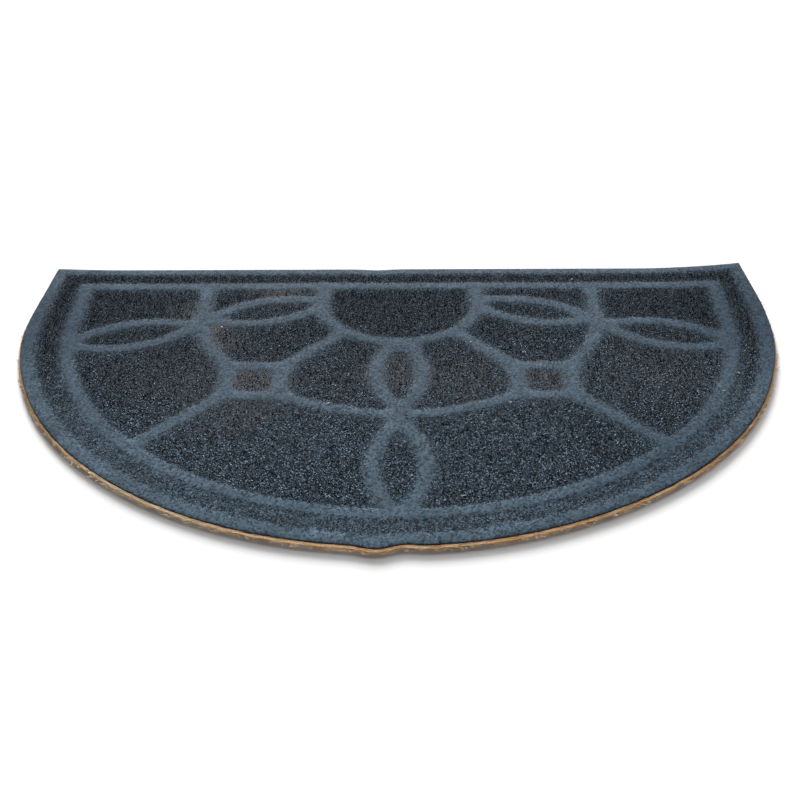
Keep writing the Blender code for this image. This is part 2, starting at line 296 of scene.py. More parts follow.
# Places in the whole plan that look different: how far each spreads, and how strong it is
Spot = namedtuple("Spot", "name across forward spread strength")
DUSTS = (
    Spot("behind the left inner petal", -0.098, 0.047, 0.018, 0.50),
    Spot("left of the left upright", -0.172, 0.078, 0.014, 0.55),
    Spot("in front of the left crossing", -0.146, 0.106, 0.012, 0.80),
    Spot("beside the left knee", -0.138, 0.130, 0.018, 0.50),
    Spot("in the left square", -0.110, 0.190, 0.026, 0.62),
    Spot("in the right square", 0.113, 0.190, 0.026, 0.36),
    Spot("under the left square", -0.120, 0.232, 0.036, 0.25),
    Spot("left panel beside the square", -0.160, 0.185, 0.045, 0.20),
    Spot("in the middle inner petal", 0.000, 0.180, 0.030, 0.36),
    Spot("right of the middle petal", 0.055, 0.190, 0.040, 0.18),
    Spot("left of the middle petal", -0.055, 0.200, 0.040, 0.08),
    Spot("right panel", 0.200, 0.180, 0.050, 0.15),
)
# Patches where the rubber and its crumb are darker
DARK_PATCHES = (
    Spot("left end", -0.285, 0.100, 0.080, 0.95),
    Spot("right end", 0.285, 0.100, 0.080, 0.95),
    Spot("left crossing", -0.170, 0.130, 0.085, 0.50),
    Spot("left panel", -0.205, 0.190, 0.055, 0.48),
    Spot("hub", 0.0, 0.095, 0.090, 0.48),
    Spot("right crossing", 0.160, 0.080, 0.080, 0.25),
    Spot("right front quarter", 0.200, 0.290, 0.095, 0.50),
)
PALES = (
    Spot("left front quarter", -0.180, 0.330, 0.110, 0.70),
    Spot("tuft at the middle of the front", 0.0108, 0.4051, 0.006, 1.00),
)

# How far the lint lies above the grain, and how much of its half length it bends by
LINT_CLEAR = 0.0003
LINT_BEND = 0.25

# Lint that lies on the rubber: where, which way, how long and thick, and from 0, nearly black, to 1, white
Lint = namedtuple("Lint", "name across forward degrees length radius tone")
LINT = (
    Lint("speck in front of the left crossing", -0.1424, 0.1057, 20.0, 0.0016, 0.00055, 1.00),
    Lint("speck right of the hub", 0.1495, 0.0218, -10.0, 0.0016, 0.00050, 0.90),
    Lint("speck in the right end", 0.2623, 0.1825, 40.0, 0.0014, 0.00050, 0.90),
    Lint("yellowish speck in the right end", 0.2459, 0.2092, 0.0, 0.0014, 0.00045, 0.75),
    Lint("speck right of the star", 0.0848, 0.2241, 15.0, 0.0020, 0.00040, 0.90),
    Lint("speck beside the middle petal", 0.0586, 0.1321, -20.0, 0.0014, 0.00045, 0.85),
    Lint("speck left of the star", -0.0507, 0.2246, -12.0, 0.0024, 0.00040, 0.95),
    Lint("pale fibre in front of the star", 0.0456, 0.3447, -14.0, 0.0042, 0.00032, 0.95),
    # A dark rod of painted shade where the star has a nick
    Lint("dark nick in the star", 0.0073, 0.2433, -5.0, 0.0024, 0.00050, 0.00),
)

# Seeds of the random draws
CRUMB_SEED = 11
EDGE_SEED = 23
UNDER_SEED = 29

# Baking layout: how many metres fill the square's width for the upper face and for the underside
UPPER_SPAN = 0.64
UPPER_START = 0.99
UPPER_CLEAR = 0.01
UNDER_SPAN = 1.30
UNDER_START = 0.32
CELL_MARGIN = 0.1

# Edges that turn by more than this are shaded sharp
SHARP_DEGREES = 60.0

# Lights in degrees: how wide each is, how high, and where round the mat, 0 behind it and 180 in front
Light = namedtuple("Light", "name strength width elevation azimuth")
LIGHTS = (
    Light("window", "window_strength", 17.0, 15.9, 4.0),
    Light("upper window", "upper_strength", 30.0, 34.0, -6.0),
    Light("board", "board_strength", 10.0, 2.0, 176.0),
)

# Camera, fitted to the mat's outline for a picture 800 pixels wide
PICTURE_WIDTH = 800
FOCAL_PIXELS = 1521.66
SENSOR_WIDTH = 36.0
CAMERA_PLACE = (0.00554, -0.99000, 0.59499)
CAMERA_PITCH = math.radians(31.282)
CAMERA_ROLL = math.radians(-0.3225)
CAMERA_YAW = math.radians(-0.2397)


def linear(hex_colour):
    """An sRGB hex colour as linear red, green and blue."""
    channels = [int(hex_colour[i : i + 2], 16) / 255.0 for i in (1, 3, 5)]
    return tuple(c / 12.92 if c <= 0.04045 else ((c + 0.055) / 1.055) ** 2.4 for c in channels)


def smooth_step(value):
    value = np.clip(value, 0.0, 1.0)
    return value * value * (3.0 - 2.0 * value)


# Plan

def outline(inset, back_points, side_points, front_points):
    """The plain outline, so far inside the cut edge: back, right side, round front, left side."""
    half = HALF_WIDTH - inset
    radius = FRONT_RADIUS - inset
    run = SIDE_LENGTH - inset
    back = [(half * (2.0 * i / back_points - 1.0), inset) for i in range(back_points)]
    right = [(half, inset + run * i / side_points) for i in range(side_points)]
    angles = [math.pi * i / front_points for i in range(front_points)]
    front = [(radius * math.cos(a), SIDE_LENGTH + radius * math.sin(a)) for a in angles]
    left = [(-half, SIDE_LENGTH - run * i / side_points) for i in range(side_points)]
    return np.array(back + right + front + left)


def outward(ring):
    """The direction out of the mat at each point of a ring."""
    along = np.roll(ring, -1, axis=0) - np.roll(ring, 1, axis=0)
    along /= np.hypot(*along.T)[:, None]
    return np.stack([along[:, 1], -along[:, 0]], 1)


def edge_distance(points):
    """Each point's distance inside the plain outline."""
    across, forward = np.abs(points[:, 0]), points[:, 1]
    to_side = HALF_WIDTH - across
    to_front = FRONT_RADIUS - np.hypot(points[:, 0], forward - SIDE_LENGTH)
    return np.minimum(forward, np.where(forward > SIDE_LENGTH, to_front, to_side))


def strayed(points):
    """The same points with the cut edge's bumps and dents, which fade out towards the middle."""
    across, forward = points[:, 0], points[:, 1]
    near = smooth_step(1.0 - edge_distance(points) / EDGE_REACH)
    down_the_side = np.clip(1.0 - forward / SIDE_LENGTH, -1.0, 1.0)
    swell = np.where(
        forward < SIDE_LENGTH,
        SIDE_SWELL - CORNER_DRAW_IN * down_the_side**2,
        SIDE_SWELL * smooth_step(1.0 + down_the_side),
    )
    beside = near * smooth_step((np.abs(across) - SWELL_FROM) / (SWELL_TO - SWELL_FROM))
    moved = points + np.stack([np.sign(across) * beside * swell, np.zeros(len(points))], 1)
    for stray in STRAYS:
        along = forward if stray.edge in ("left", "right") else across
        bump = stray.outward * np.exp(-(((along - stray.place) / stray.half_width) ** 2))
        if stray.edge == "back":
            moved[:, 1] -= near * bump * (forward < SIDE_LENGTH)
        elif stray.edge == "front":
            moved[:, 1] += near * bump * (forward > SIDE_LENGTH)
        else:
            side = 1.0 if stray.edge == "right" else -1.0
            moved[:, 0] += side * beside * bump * (side * across > 0.0)
    return moved


def lift(points):
    """How far the curled corners hold each point off the floor."""
    raised = np.zeros(len(points))
    for curl in CURLS:
        corner = np.array([curl.side * HALF_WIDTH, 0.0])
        away = np.hypot(*(points - corner).T)
        raised += curl.lift * np.clip(1.0 - away / curl.reach, 0.0, 1.0) ** 2
    return raised


def in_frame(points, heights):
    """Plan points and heights as X, Y and Z."""
    return np.stack([points[:, 0] - PLAN_MIDDLE[0], PLAN_MIDDLE[1] - points[:, 1], heights], 1)


def in_plan(places):
    """X and Y as across and forward."""
    return np.stack([places[:, 0] + PLAN_MIDDLE[0], PLAN_MIDDLE[1] - places[:, 1]], 1)


# Pattern

def arc_distance(points, start, end, bow):
    """Each point's distance to an arc whose middle stands off its chord by the bow."""
    start = np.array(start)
    end = np.array(end)
    chord = end - start
    length = math.hypot(*chord)
    if bow == 0.0:
        share = np.clip((points - start) @ chord / length**2, 0.0, 1.0)
        return np.hypot(*(points - start - share[:, None] * chord).T)
    sideways = math.copysign(1.0, bow) * np.array([-chord[1], chord[0]]) / length
    radius = (length**2 / 4.0 + bow**2) / (2.0 * abs(bow))
    centre = (start + end) / 2.0 + (abs(bow) - radius) * sideways
    spoke = points - centre
    reach = np.hypot(*spoke.T)
    beside = spoke @ sideways > reach * (1.0 - abs(bow) / radius)
    to_ends = np.minimum(np.hypot(*(points - start).T), np.hypot(*(points - end).T))
    return np.where(beside, np.abs(reach - radius), to_ends)


def border_distance(points):
    """Each point's distance to the border rib's centre line."""
    across, forward = np.abs(points[:, 0]), points[:, 1]
    beyond_side = across - (HALF_WIDTH - BORDER_INSET)
    beyond_back = BORDER_INSET - forward
    corner = np.hypot(np.maximum(beyond_side, 0.0), np.maximum(beyond_back, 0.0))
    straight = np.where(corner > 0.0, corner, np.abs(np.maximum(beyond_side, beyond_back)))
    front = np.abs(np.hypot(across, forward - SIDE_LENGTH) - (FRONT_RADIUS - BORDER_INSET))
    return np.where(forward > SIDE_LENGTH, front, straight)


def hub_distance(points):
    """Each point's distance to the hub: a half circle on two straight sides."""
    across, forward = np.abs(points[:, 0]), points[:, 1]
    curve = np.abs(np.hypot(across, forward - HUB_CENTRE) - HUB_RADIUS)
    past_end = np.maximum(BORDER_INSET - forward, 0.0)
    return np.where(forward > HUB_CENTRE, curve, np.hypot(across - HUB_RADIUS, past_end))


def between_border_and_hub(points):
    """1 where the inner ribs run, falling to 0 over the border rib and the hub, where they end."""
    across, forward = np.abs(points[:, 0]), points[:, 1]
    hub = np.where(forward > HUB_CENTRE, np.hypot(across, forward - HUB_CENTRE), across) - HUB_RADIUS
    within = np.minimum(edge_distance(points) - BORDER_INSET, hub)
    return smooth_step((within + RIB_TOP_HALF) / (2.0 * RIB_TOP_HALF))


def rib_union(points, section):
    """Every rib's section in turn, by the distance from its centre line. Inner ribs end at the border."""
    points = points - (PATTERN_OFF_CENTRE, 0.0)
    yield section(border_distance(points))
    yield section(hub_distance(points))
    whole = between_border_and_hub(points)
    for rib in RIBS:
        for side in (1.0, -1.0):
            off = arc_distance(points * (side, 1.0), PLACES[rib.start], PLACES[rib.end], rib.bow)
            yield whole * section(off)


def rib_section(off):
    """A rib's height over the panels, as a share, by the distance from its centre line."""
    return smooth_step((RIB_FOOT_HALF - off) / (RIB_FOOT_HALF - RIB_TOP_HALF))


def rib_smoothness(off):
    """How smooth a rib leaves the rubber, by the distance from its centre line."""
    return np.exp(-((off / SMOOTH_SPREAD) ** 2))


def rubber_top(points):
    """Height of the rubber's upper face over its underside, before any corner curls."""
    bare = np.ones(len(points))
    for height in rib_union(points, rib_section):
        bare *= 1.0 - height
    inside = edge_distance(points)
    rim = smooth_step((RIM_FOOT_WIDTH - inside) / (RIM_FOOT_WIDTH - RIM_TOP_WIDTH))
    worn = (PANEL_THICKNESS + RIM_RISE - EDGE_THICKNESS) * (1.0 - smooth_step(inside / RIM_CREST))
    return PANEL_THICKNESS + RIB_RISE * (1.0 - bare) + RIM_RISE * rim - worn


def crumb_share(points):
    """0 on the ribs and the rim, 1 where the crumb is full. The groove round the front is half smooth."""
    inside = edge_distance(points)
    groove = smooth_step((BORDER_INSET - inside) / GROOVE_EDGE)
    groove *= smooth_step((points[:, 1] - GROOVE_FROM) / GROOVE_RUN)
    smooth = 1.0 - smooth_step((inside - RIM_CRUMB_FROM) / (RIM_CRUMB_FULL - RIM_CRUMB_FROM))
    for share in rib_union(points, rib_smoothness):
        smooth += share
    return np.clip(1.0 - smooth, 0.0, 1.0) * (1.0 - GROOVE_SMOOTHNESS * groove)


def spotted(points, spots):
    """How strongly each point lies in one of the spots."""
    found = np.zeros(len(points))
    for spot in spots:
        away = np.hypot(*(points - (spot.across, spot.forward)).T)
        found = np.maximum(found, spot.strength * np.exp(-((away / spot.spread) ** 2)))
    return found


# Materials

# Sockets of a Mix node that is set to colours, and of a Map Range node
SHARE, FIRST, SECOND, RESULT = 0, 6, 7, 2
SPAN = ("Value", "From Min", "From Max", "To Min", "To Max")


def node(material, kind, inputs=None, **settings):
    """Adds a node with its settings. Each input is given a value, or the output that is linked to it."""
    tree = material.node_tree
    made = tree.nodes.new(kind)
    for name, value in settings.items():
        setattr(made, name, value)
    for socket, value in (inputs or {}).items():
        if isinstance(value, bpy.types.NodeSocket):
            tree.links.new(value, made.inputs[socket])
        else:
            made.inputs[socket].default_value = value
    return made


def new_material(name):
    """An empty material, with the place that its patterns are drawn by."""
    made = bpy.data.materials.new(name)
    made.use_nodes = True
    made.node_tree.nodes.clear()
    return made, node(made, "ShaderNodeTexCoord").outputs["Object"]


def moulded_rubber(settings):
    """Moulded rubber, pressed in a blasted mould: matt and slightly mottled, darker where it is porous, with
    painted shade in the panels' bed between the crumbs.
    """
    made, place = new_material("moulded rubber")
    crumb, dust, dull, cut = (
        node(made, "ShaderNodeAttribute", attribute_name=name).outputs["Fac"]
        for name in ("crumb", "dust", "dull", "cut")
    )
    # A blasted mould's own grain is too fine to show in the render, so it is drawn coarser here
    fine = {"Vector": place, "Scale": 1.0 / settings.grain}
    fine = node(made, "ShaderNodeTexVoronoi", fine).outputs["Color"]
    fine = {"Value": fine, "From Min": 0.05, "From Max": 0.95}
    fine = node(made, "ShaderNodeMapRange", fine).outputs["Result"]
    broad = {"Vector": place, "Scale": 1.0 / settings.mottle, "Detail": 3.0}
    broad = node(made, "ShaderNodeTexNoise", broad).outputs["Fac"]
    # The mottling and the pits of the smooth rubber, the pores of the bed, and the specks in which it begins
    mottled, pitted, porous, specks = (
        node(made, "ShaderNodeMapRange", dict(zip(SPAN, span))).outputs["Result"]
        for span in (
            (broad, 0.35, 0.65, 0.0, 1.0),
            (fine, 0.0, 1.0, 0.0, settings.pitting),
            (fine, 0.1, 0.8, 0.0, 1.0),
            (fine, 0.0, 1.0, -0.40, 0.40),
        )
    )
    reach = node(made, "ShaderNodeMath", {0: crumb, 1: specks}, operation="ADD").outputs[0]
    reach = {"Value": reach, "From Min": 0.25, "From Max": 0.95}
    reach = node(made, "ShaderNodeMapRange", reach).outputs["Result"]
    dusty = node(made, "ShaderNodeMath", {0: dust, 1: porous}, operation="MULTIPLY").outputs[0]
    # The panels' bed: painted shade between the crumbs, deepest in its pores
    bed = {SHARE: porous, FIRST: (*settings.panel_bed_shade_colour, 1), SECOND: (*settings.shade_colour, 1)}
    bed = node(made, "ShaderNodeMix", bed, data_type="RGBA").outputs[RESULT]
    # The smooth rubber is mottled, darker in patches, and pitted. Then comes the bed of the panels, darkened
    # with painted shade between the crumbs, with dust between its pores. The cut edge is nearly black: its
    # own dark rubber with painted shade.
    colour = (*settings.rib_colour, 1)
    for share, toward in (
        (mottled, (*settings.rim_colour, 1)),
        (dull, (*settings.dark_patch_colour, 1)),
        (pitted, (*settings.shade_colour, 1)),
        (reach, bed),
        (dusty, (*settings.dust_colour, 1)),
        (cut, (*settings.cut_and_shade_colour, 1)),
    ):
        colour = {SHARE: share, FIRST: colour, SECOND: toward}
        colour = node(made, "ShaderNodeMix", colour, data_type="RGBA").outputs[RESULT]
    bump = {"Height": fine, "Distance": settings.grain * 0.08, "Strength": 0.6}
    shader = {
        "Base Color": colour,
        "Roughness": 0.82,
        "Specular IOR Level": 0.02,
        "Normal": node(made, "ShaderNodeBump", bump).outputs["Normal"],
    }
    surface = node(made, "ShaderNodeBsdfPrincipled", shader).outputs["BSDF"]
    node(made, "ShaderNodeOutputMaterial", {"Surface": surface})
    return made


def rubber_crumb(settings):
    """Ground rubber bonded in the mould: dull broken lumps from nearly black to blue grey."""
    made, place = new_material("bonded rubber crumb")
    tone, whole, dust = (
        node(made, "ShaderNodeAttribute", attribute_name=name).outputs["Fac"]
        for name in ("tone", "share", "dust")
    )
    fine = {"Vector": place, "Scale": 1.0 / settings.crumb_grain}
    fine = node(made, "ShaderNodeTexVoronoi", fine).outputs["Color"]
    # Some finer grains of a lump are dark, beside a rib the lumps are pressed smooth and have its colour, and
    # brown dust lies on the lumps that stand out
    broken, pressed, standing = (
        node(made, "ShaderNodeMapRange", dict(zip(SPAN, span))).outputs["Result"]
        for span in (
            (fine, 0.35, 0.85, 0.0, 0.55),
            (whole, 0.0, 1.1, 0.95, 0.0),
            (tone, 0.05, 0.45, 0.0, 1.0),
        )
    )
    dusty = node(made, "ShaderNodeMath", {0: dust, 1: standing}, operation="MULTIPLY").outputs[0]
    colour = (*settings.crumb_dark, 1)
    for share, toward in (
        (tone, settings.crumb_light),
        (broken, settings.crumb_dark),
        (pressed, settings.rib_colour),
        (dusty, settings.dust_colour),
    ):
        colour = {SHARE: share, FIRST: colour, SECOND: (*toward, 1)}
        colour = node(made, "ShaderNodeMix", colour, data_type="RGBA").outputs[RESULT]
    shader = {"Base Color": colour, "Roughness": 0.85, "Specular IOR Level": 0.01}
    surface = node(made, "ShaderNodeBsdfPrincipled", shader).outputs["BSDF"]
    node(made, "ShaderNodeOutputMaterial", {"Surface": surface})
    return made


def needled_fibre(settings):
    """Needled coarse brown fibre: dry, quite without gloss, with its fibres lying every way."""
    made, place = new_material("needled fibre")
    pale, soil = (
        node(made, "ShaderNodeAttribute", attribute_name=name).outputs["Fac"]
        for name in ("pale", "soil")
    )
    strand = {"Vector": place, "Scale": 1.0 / settings.strand_grain, "Detail": 4.0}
    strand = node(made, "ShaderNodeTexNoise", strand).outputs["Fac"]
    patch = {"Vector": place, "Scale": 1.0 / settings.mottle, "Detail": 3.0}
    patch = node(made, "ShaderNodeTexNoise", patch).outputs["Fac"]
    # The tufts get painted shade in their depth, are bleached in patches, and get painted shade at the foot
    # of the edge
    shaded, bleached = (
        node(made, "ShaderNodeMapRange", dict(zip(SPAN, span))).outputs["Result"]
        for span in ((strand, 0.35, 0.65, 0.0, 1.0), (patch, 0.35, 0.75, 0.0, 0.5))
    )
    bleached = node(made, "ShaderNodeMath", {0: bleached, 1: pale}, operation="MAXIMUM").outputs[0]
    colour = (*settings.fibre_dark, 1)
    for share, toward in (
        (shaded, settings.fibre_colour),
        (bleached, settings.fibre_light),
        (soil, settings.foot_shade_colour),
    ):
        colour = {SHARE: share, FIRST: colour, SECOND: (*toward, 1)}
        colour = node(made, "ShaderNodeMix", colour, data_type="RGBA").outputs[RESULT]
    bump = {"Height": strand, "Distance": 0.0005, "Strength": 1.0}
    shader = {
        "Base Color": colour,
        "Roughness": 0.95,
        "Specular IOR Level": 0.10,
        "Normal": node(made, "ShaderNodeBump", bump).outputs["Normal"],
    }
    surface = node(made, "ShaderNodeBsdfPrincipled", shader).outputs["BSDF"]
    node(made, "ShaderNodeOutputMaterial", {"Surface": surface})
    return made


def loose_fibre(settings):
    """Loose strands of the same fibre: each has its own shade, from raw brown to bleached."""
    made, _ = new_material("loose fibre")
    tone = node(made, "ShaderNodeAttribute", attribute_name="tone").outputs["Fac"]
    colour = (*settings.fibre_dark, 1)
    for start, toward in ((0.0, settings.fibre_colour), (0.5, settings.fibre_light)):
        share = {"Value": tone, "From Min": start, "From Max": start + 0.5}
        share = node(made, "ShaderNodeMapRange", share).outputs["Result"]
        colour = {SHARE: share, FIRST: colour, SECOND: (*toward, 1)}
        colour = node(made, "ShaderNodeMix", colour, data_type="RGBA").outputs[RESULT]
    shader = {"Base Color": colour, "Roughness": 0.90, "Specular IOR Level": 0.10}
    surface = node(made, "ShaderNodeBsdfPrincipled", shader).outputs["BSDF"]
    node(made, "ShaderNodeOutputMaterial", {"Surface": surface})
    return made


def lint(settings):
    """Lint, and painted shade for a nick: each bit has its own shade, from nearly black to white."""
    made, _ = new_material("lint")
    tone = node(made, "ShaderNodeAttribute", attribute_name="tone").outputs["Fac"]
    colour = {SHARE: tone, FIRST: (*settings.shade_colour, 1), SECOND: (*settings.lint_colour, 1)}
    colour = node(made, "ShaderNodeMix", colour, data_type="RGBA").outputs[RESULT]
    shader = {"Base Color": colour, "Roughness": 0.90, "Specular IOR Level": 0.05}
    surface = node(made, "ShaderNodeBsdfPrincipled", shader).outputs["BSDF"]
    node(made, "ShaderNodeOutputMaterial", {"Surface": surface})
    return made


def white_board(settings):
    """Matt white painted board: even, with no gloss to catch the window."""
    made, _ = new_material("matt white board")
    shader = {"Base Color": (*settings.floor_colour, 1), "Roughness": 0.9, "Specular IOR Level": 0.1}
    surface = node(made, "ShaderNodeBsdfPrincipled", shader).outputs["BSDF"]
    node(made, "ShaderNodeOutputMaterial", {"Surface": surface})
    return made


# Meshes

def deselect_all():
    for chosen in list(bpy.context.selected_objects):
        chosen.select_set(False)


def coordinates(mesh):
    found = np.empty(3 * len(mesh.vertices))
    mesh.vertices.foreach_get("co", found)
    return found.reshape(-1, 3)


def store(mesh, name, values):
    """Keeps one number for each point, for the material to read."""
    mesh.attributes.new(name, "FLOAT", "POINT").data.foreach_set("value", values)


def store_uv(mesh, places):
    """Keeps a flat place from 0 to 1 for each point, as the layer that a baked picture follows."""
    layer = mesh.uv_layers.new(name="OFBake")
    corners = np.empty(len(mesh.loops), int)
    mesh.loops.foreach_get("vertex_index", corners)
    layer.data.foreach_set("uv", places[corners].ravel())


def on_row(places, row):
    """Which points stand on one row, which is their height until the ring is shaped."""
    return np.abs(places[:, 2] - row) < 0.5


def select_row(mesh, row):
    """Selects the ring of edges whose points stand on one row."""
    bpy.ops.object.mode_set(mode="OBJECT")
    chosen = on_row(coordinates(mesh), row)
    mesh.vertices.foreach_set("select", chosen)
    for edge in mesh.edges:
        edge.select = bool(chosen[edge.vertices[0]] and chosen[edge.vertices[1]])
    for face in mesh.polygons:
        face.select = False
    bpy.ops.object.mode_set(mode="EDIT")


def ring_of_rows(name, ring_at, rows):
    """A ring extruded into rows. Until it is shaped, each point's height is the number of its row."""
    deselect_all()
    count = len(ring_at(0.0))
    bpy.ops.mesh.primitive_circle_add(vertices=count, radius=1.0)
    made = bpy.context.object
    made.name = name
    made.data.name = name
    made.data.attributes.new("turn", "INT", "POINT").data.foreach_set("value", np.arange(count))
    bpy.ops.object.mode_set(mode="EDIT")
    bpy.ops.mesh.select_all(action="SELECT")
    for _ in rows[1:]:
        bpy.ops.mesh.extrude_region_move(TRANSFORM_OT_translate={"value": (0.0, 0.0, 1.0)})
    bpy.ops.object.mode_set(mode="OBJECT")
    turns = np.empty(len(made.data.vertices), int)
    made.data.attributes["turn"].data.foreach_get("value", turns)
    places = coordinates(made.data)
    for index, row in enumerate(rows):
        own = on_row(places, index)
        places[own, :2] = in_frame(ring_at(row.inset), np.zeros(count))[turns[own], :2]
    made.data.vertices.foreach_set("co", places.ravel())
    return made


def close_flat(mesh, row):
    """Fills a row with one face, cut along lines near the corners so that it can curl with them."""
    select_row(mesh, row)
    bpy.ops.mesh.edge_face_add()
    for curl in CURLS:
        for step in range(1, math.ceil(curl.reach / UNDER_CUT_STEP)):
            across = curl.side * (HALF_WIDTH - step * UNDER_CUT_STEP) - PLAN_MIDDLE[0]
            cut_row(mesh, row, (across, 0.0, 0.0), (1.0, 0.0, 0.0))
    for step in range(1, math.ceil(max(curl.reach for curl in CURLS) / UNDER_CUT_STEP)):
        cut_row(mesh, row, (0.0, PLAN_MIDDLE[1] - step * UNDER_CUT_STEP, 0.0), (0.0, 1.0, 0.0))
    bpy.ops.object.mode_set(mode="OBJECT")


def cut_row(mesh, row, place, direction):
    """Cuts the faces that lie flat on a row, along one straight line."""
    bpy.ops.object.mode_set(mode="OBJECT")
    flat = on_row(coordinates(mesh), row)
    mesh.vertices.foreach_set("select", np.zeros(len(mesh.vertices), bool))
    mesh.edges.foreach_set("select", np.zeros(len(mesh.edges), bool))
    for face in mesh.polygons:
        face.select = all(flat[corner] for corner in face.vertices)
    bpy.ops.object.mode_set(mode="EDIT")
    bpy.ops.mesh.bisect(plane_co=place, plane_no=direction)


def finish_mesh(made, material):
    """Outward faces, smooth shading and one material, with the object left at the origin."""
    bpy.ops.object.mode_set(mode="EDIT")
    bpy.ops.mesh.select_all(action="SELECT")
    bpy.ops.mesh.normals_make_consistent(inside=False)
    bpy.ops.object.mode_set(mode="OBJECT")
    made.data.shade_smooth()
    made.data.set_sharp_from_angle(angle=math.radians(SHARP_DEGREES))
    made.data.materials.clear()
    made.data.materials.append(material)


def keep_flat(mesh, flat):
    """Sharp edges round the faces that lie flat, so that the edge's rounding doesn't shade them."""
    for edge in mesh.edges:
        if flat[edge.vertices[0]] and flat[edge.vertices[1]]:
            edge.use_edge_sharp = True


def by_row(mesh, table):
    """For each point of a ring of rows: its place in the plan, its row, and the row's share."""
    places = coordinates(mesh)
    rows = np.clip(np.round(places[:, 2]).astype(int), 0, len(table) - 1)
    return in_plan(places), rows, np.array([row.share for row in table])[rows]


def rubber_ring(inset):
    return outline(inset, BACK_POINTS, SIDE_POINTS, FRONT_POINTS)


def make_rubber_relief(settings):
    """The moulded sheet: an even grid inside its rim rows, with the ribs raised by their sections."""
    made = ring_of_rows("rubber_relief", rubber_ring, RUBBER_ROWS)
    mesh = made.data
    close_flat(mesh, 0)
    select_row(mesh, len(RUBBER_ROWS) - 1)
    bpy.ops.mesh.fill_grid(span=BACK_POINTS, offset=FILL_OFFSET)
    bpy.ops.object.mode_set(mode="OBJECT")
    plan, rows, shares = by_row(mesh, RUBBER_ROWS)
    top = rubber_top(plan)
    uneven = np.array([noise.noise(Vector((*point * UNEVEN_A_METRE, 0.0))) for point in plan])
    top += UNEVEN_HEIGHT * uneven * (rows >= FIRST_UPPER_ROW)
    heights = BED + top * shares + lift(plan)
    mesh.vertices.foreach_set("co", in_frame(strayed(plan), heights).ravel())
    store(mesh, "crumb", crumb_share(plan) * (shares == 1.0))
    store(mesh, "dust", spotted(plan, DUSTS) * crumb_share(plan))
    # How strongly each point lies in a darker patch
    store(mesh, "dull", spotted(plan, DARK_PATCHES))
    # The cut edge is darker towards its foot: painted shade on the cut rubber's own dark colour
    store(mesh, "cut", 1.0 - smooth_step((shares - CUT_SHADE_TO) / (1.0 - CUT_SHADE_TO)))
    skirt = np.where(shares < 1.0, EDGE_THICKNESS * (1.0 - shares), 0.0)
    finish_mesh(made, moulded_rubber(settings))
    keep_flat(mesh, rows == 0)
    store_uv(mesh, sheet_uv(plan, skirt, rows == 0))
    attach(made, "root")
    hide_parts("rubber_sheet")
    return made


def sheet_uv(plan, skirt, under):
    """Upper face and its edge in the upper part of the square, and the underside, smaller, below."""
    middle = np.array([0.0, FRONT_RADIUS * 2.0 / 3.0])
    away = plan - middle
    away /= np.maximum(np.hypot(*away.T), 1e-6)[:, None]
    spread = plan + away * skirt[:, None]
    upper = np.stack([spread[:, 0] / UPPER_SPAN, -(spread[:, 1] + UPPER_CLEAR) / UPPER_SPAN], 1)
    upper += (0.5, UPPER_START)
    lower = np.stack([plan[:, 0] / UNDER_SPAN, -plan[:, 1] / UNDER_SPAN], 1)
    lower += (0.5, UNDER_START)
    return np.where(under[:, None], lower, upper)


def crumb_places(settings, random):
    """A close packed lattice of places, each moved a little, kept where the crumb lies."""
    pitch = settings.crumb_pitch
    rows = np.arange(RIM_CRUMB_FROM, SIDE_LENGTH + FRONT_RADIUS, pitch * math.sqrt(3.0) / 2.0)
    columns = np.arange(-HALF_WIDTH, HALF_WIDTH, pitch)
    across, forward = np.meshgrid(columns, rows)
    across = across + (np.arange(len(rows)) % 2)[:, None] * pitch / 2.0
    points = np.stack([across.ravel(), forward.ravel()], 1)
    points += random.uniform(-CRUMB_STRAY, CRUMB_STRAY, points.shape) * pitch
    points = points[edge_distance(points) > RIM_CRUMB_FROM]
    share = crumb_share(points)
    kept = random.uniform(0.0, 1.0, len(points)) < share
    return points[kept], share[kept]


def taken_apart(template, moved):
    """The points and triangles of a template that is open for editing. Its object is removed."""
    bpy.ops.mesh.select_all(action="SELECT")
    bpy.ops.mesh.quads_convert_to_tris()
    bpy.ops.object.mode_set(mode="OBJECT")
    places = coordinates(template.data) + moved
    faces = np.array([tuple(face.vertices) for face in template.data.polygons])
    bpy.data.objects.remove(template)
    return places, faces


def crumb_template():
    """One crumb: a blunt pyramid whose foot is sunk in the rubber, so that only its four sides show."""
    deselect_all()
    bpy.ops.mesh.primitive_cone_add(vertices=4, radius1=1.0, depth=CRUMB_TOP + CRUMB_FOOT)
    bpy.ops.object.mode_set(mode="EDIT")
    return taken_apart(bpy.context.object, (0.0, 0.0, (CRUMB_TOP - CRUMB_FOOT) / 2.0))


def joined(name, places, faces, material):
    """One mesh of many copies: places holds every copy's points, and faces the corners of one copy."""
    copies, points = places.shape[:2]
    corners = (faces[None] + points * np.arange(copies)[:, None, None]).reshape(-1, faces.shape[1])
    mesh = bpy.data.meshes.new(name)
    mesh.from_pydata(places.reshape(-1, 3), [], corners.tolist())
    mesh.materials.append(material)
    made = bpy.data.objects.new(name, mesh)
    bpy.context.collection.objects.link(made)
    return made


def cell_uv(copies, template):
    """Each copy has a cell of its own in the square, and its template's outline fills the cell."""
    across = math.ceil(math.sqrt(copies))
    cell = np.stack([np.arange(copies) % across, np.arange(copies) // across], 1)[:, None]
    flat = template - template.min(0)
    flat = CELL_MARGIN + (1.0 - 2.0 * CELL_MARGIN) * flat / flat.max(0)
    return ((cell + flat[None]) / across).reshape(-1, 2)


def make_crumb(settings):
    """Crumb in every panel, in four pieces from left to right."""
    random = np.random.default_rng(CRUMB_SEED)
    points, share = crumb_places(settings, random)
    template, faces = crumb_template()
    material = rubber_crumb(settings)
    order = np.argsort(points[:, 0])
    for name, own in zip(CRUMB_PIECES, np.array_split(order, len(CRUMB_PIECES))):
        crumb_piece(name, points[own], share[own], template, faces, material, settings, random)


